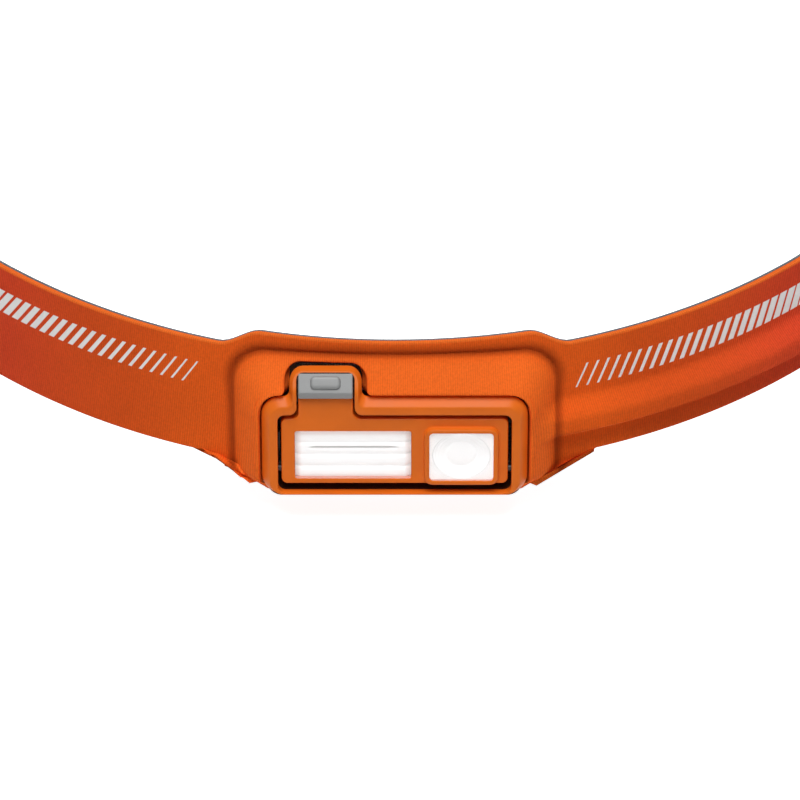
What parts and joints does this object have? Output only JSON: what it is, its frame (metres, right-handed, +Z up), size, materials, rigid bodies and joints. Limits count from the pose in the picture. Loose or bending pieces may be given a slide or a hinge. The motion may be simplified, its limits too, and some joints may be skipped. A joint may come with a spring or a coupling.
{
  "type": "headlamp",
  "caption": "Headlamp with a tilting lamp panel set in a formed fabric headband, a mode button, a raised lead channel and a rear power pack with a length adjuster.",
  "frame": {"origin": "under the middle of the whole object, on the surface that it stands on", "axes": "+Z up, the lamp faces -Y, +X to the viewer's right when the lamp is seen from the front"},
  "size_m": [0.2162, 0.195, 0.0401],
  "materials": {
    "ribbed_fabric": "woven, ribbed, printed",
    "liner_fabric": "brushed knit",
    "foam": "closed-cell foam",
    "webbing": "woven webbing",
    "orange_plastic": "fine satin moulding",
    "grey_plastic": "satin moulding",
    "dark_plastic": "fine texture",
    "clear_plastic": "polished clear",
    "red_plastic": "polished tinted",
    "reflector": "vacuum metallised",
    "board": "solder mask",
    "led": "resin",
    "red_led": "resin",
    "steel": "turned",
    "rubber": "moulded",
    "cell_wrap": "foil pouch",
    "copper_film": "polyimide film"
  },
  "bodies": {
    "root": {"band_left": "ribbed_fabric", "band_right": "ribbed_fabric", "pod_cover": "ribbed_fabric", "lead_channel": "ribbed_fabric", "liner_left": "liner_fabric", "liner_right": "liner_fabric", "pod_lining": "liner_fabric", "pod_foam": "foam", "pack_pad": "foam", "adjuster_strap": "webbing", "band_ring": "grey_plastic", "bezel_frame": "orange_plastic", "housing_tub": "dark_plastic", "hinge_pin_left": "steel", "hinge_pin_right": "steel", "bezel_screws": "steel", "detent_leaf": "steel", "flex_cable": "copper_film", "lead_grommet": "rubber", "power_lead": "rubber", "pack_base": "dark_plastic", "pack_cover": "dark_plastic", "pack_gasket": "rubber", "cell_pad": "foam", "battery_cell": "cell_wrap", "charge_board": "board", "usb_socket": "steel", "rear_light_lens": "red_plastic", "rear_light_leds": "red_led", "charge_light_pipe": "clear_plastic", "pack_screws": "steel", "pack_grommet": "rubber", "port_pin": "steel"},
    "lamp_panel": {"panel_shell": "orange_plastic", "panel_back": "dark_plastic", "flood_lens": "clear_plastic", "flood_reflector": "reflector", "spot_lens": "clear_plastic", "led_board": "board", "flood_leds": "led", "red_leds": "red_led", "spot_led": "led", "tact_switch": "dark_plastic"},
    "button": {"mode_button": "grey_plastic"},
    "port_flap": {"port_cover": "rubber"},
    "slider": {"strap_slider": "grey_plastic"}
  },
  "joints": [
    {"name": "lamp_tilt", "type": "hinge", "parent": "root", "child": "lamp_panel", "pos_m": [-0.00183, -0.09278, 0.01323], "axis": [1, 0, 0], "range_deg": [0, 45]},
    {"name": "button_press", "type": "slide", "parent": "lamp_panel", "child": "button", "axis": [0, 0.5592, -0.829], "range_m": [0, 0.0006], "stiffness_N_per_m": 600},
    {"name": "port_swing", "type": "hinge", "parent": "root", "child": "port_flap", "pos_m": [-0.03413, 0.09108, 0.0266], "axis": [0, 1, 0], "range_deg": [0, 110]},
    {"name": "slider_slide", "type": "slide", "parent": "root", "child": "slider", "axis": [0.9397, 0.342, 0], "range_m": [-0.008, 0.008]}
  ]
}
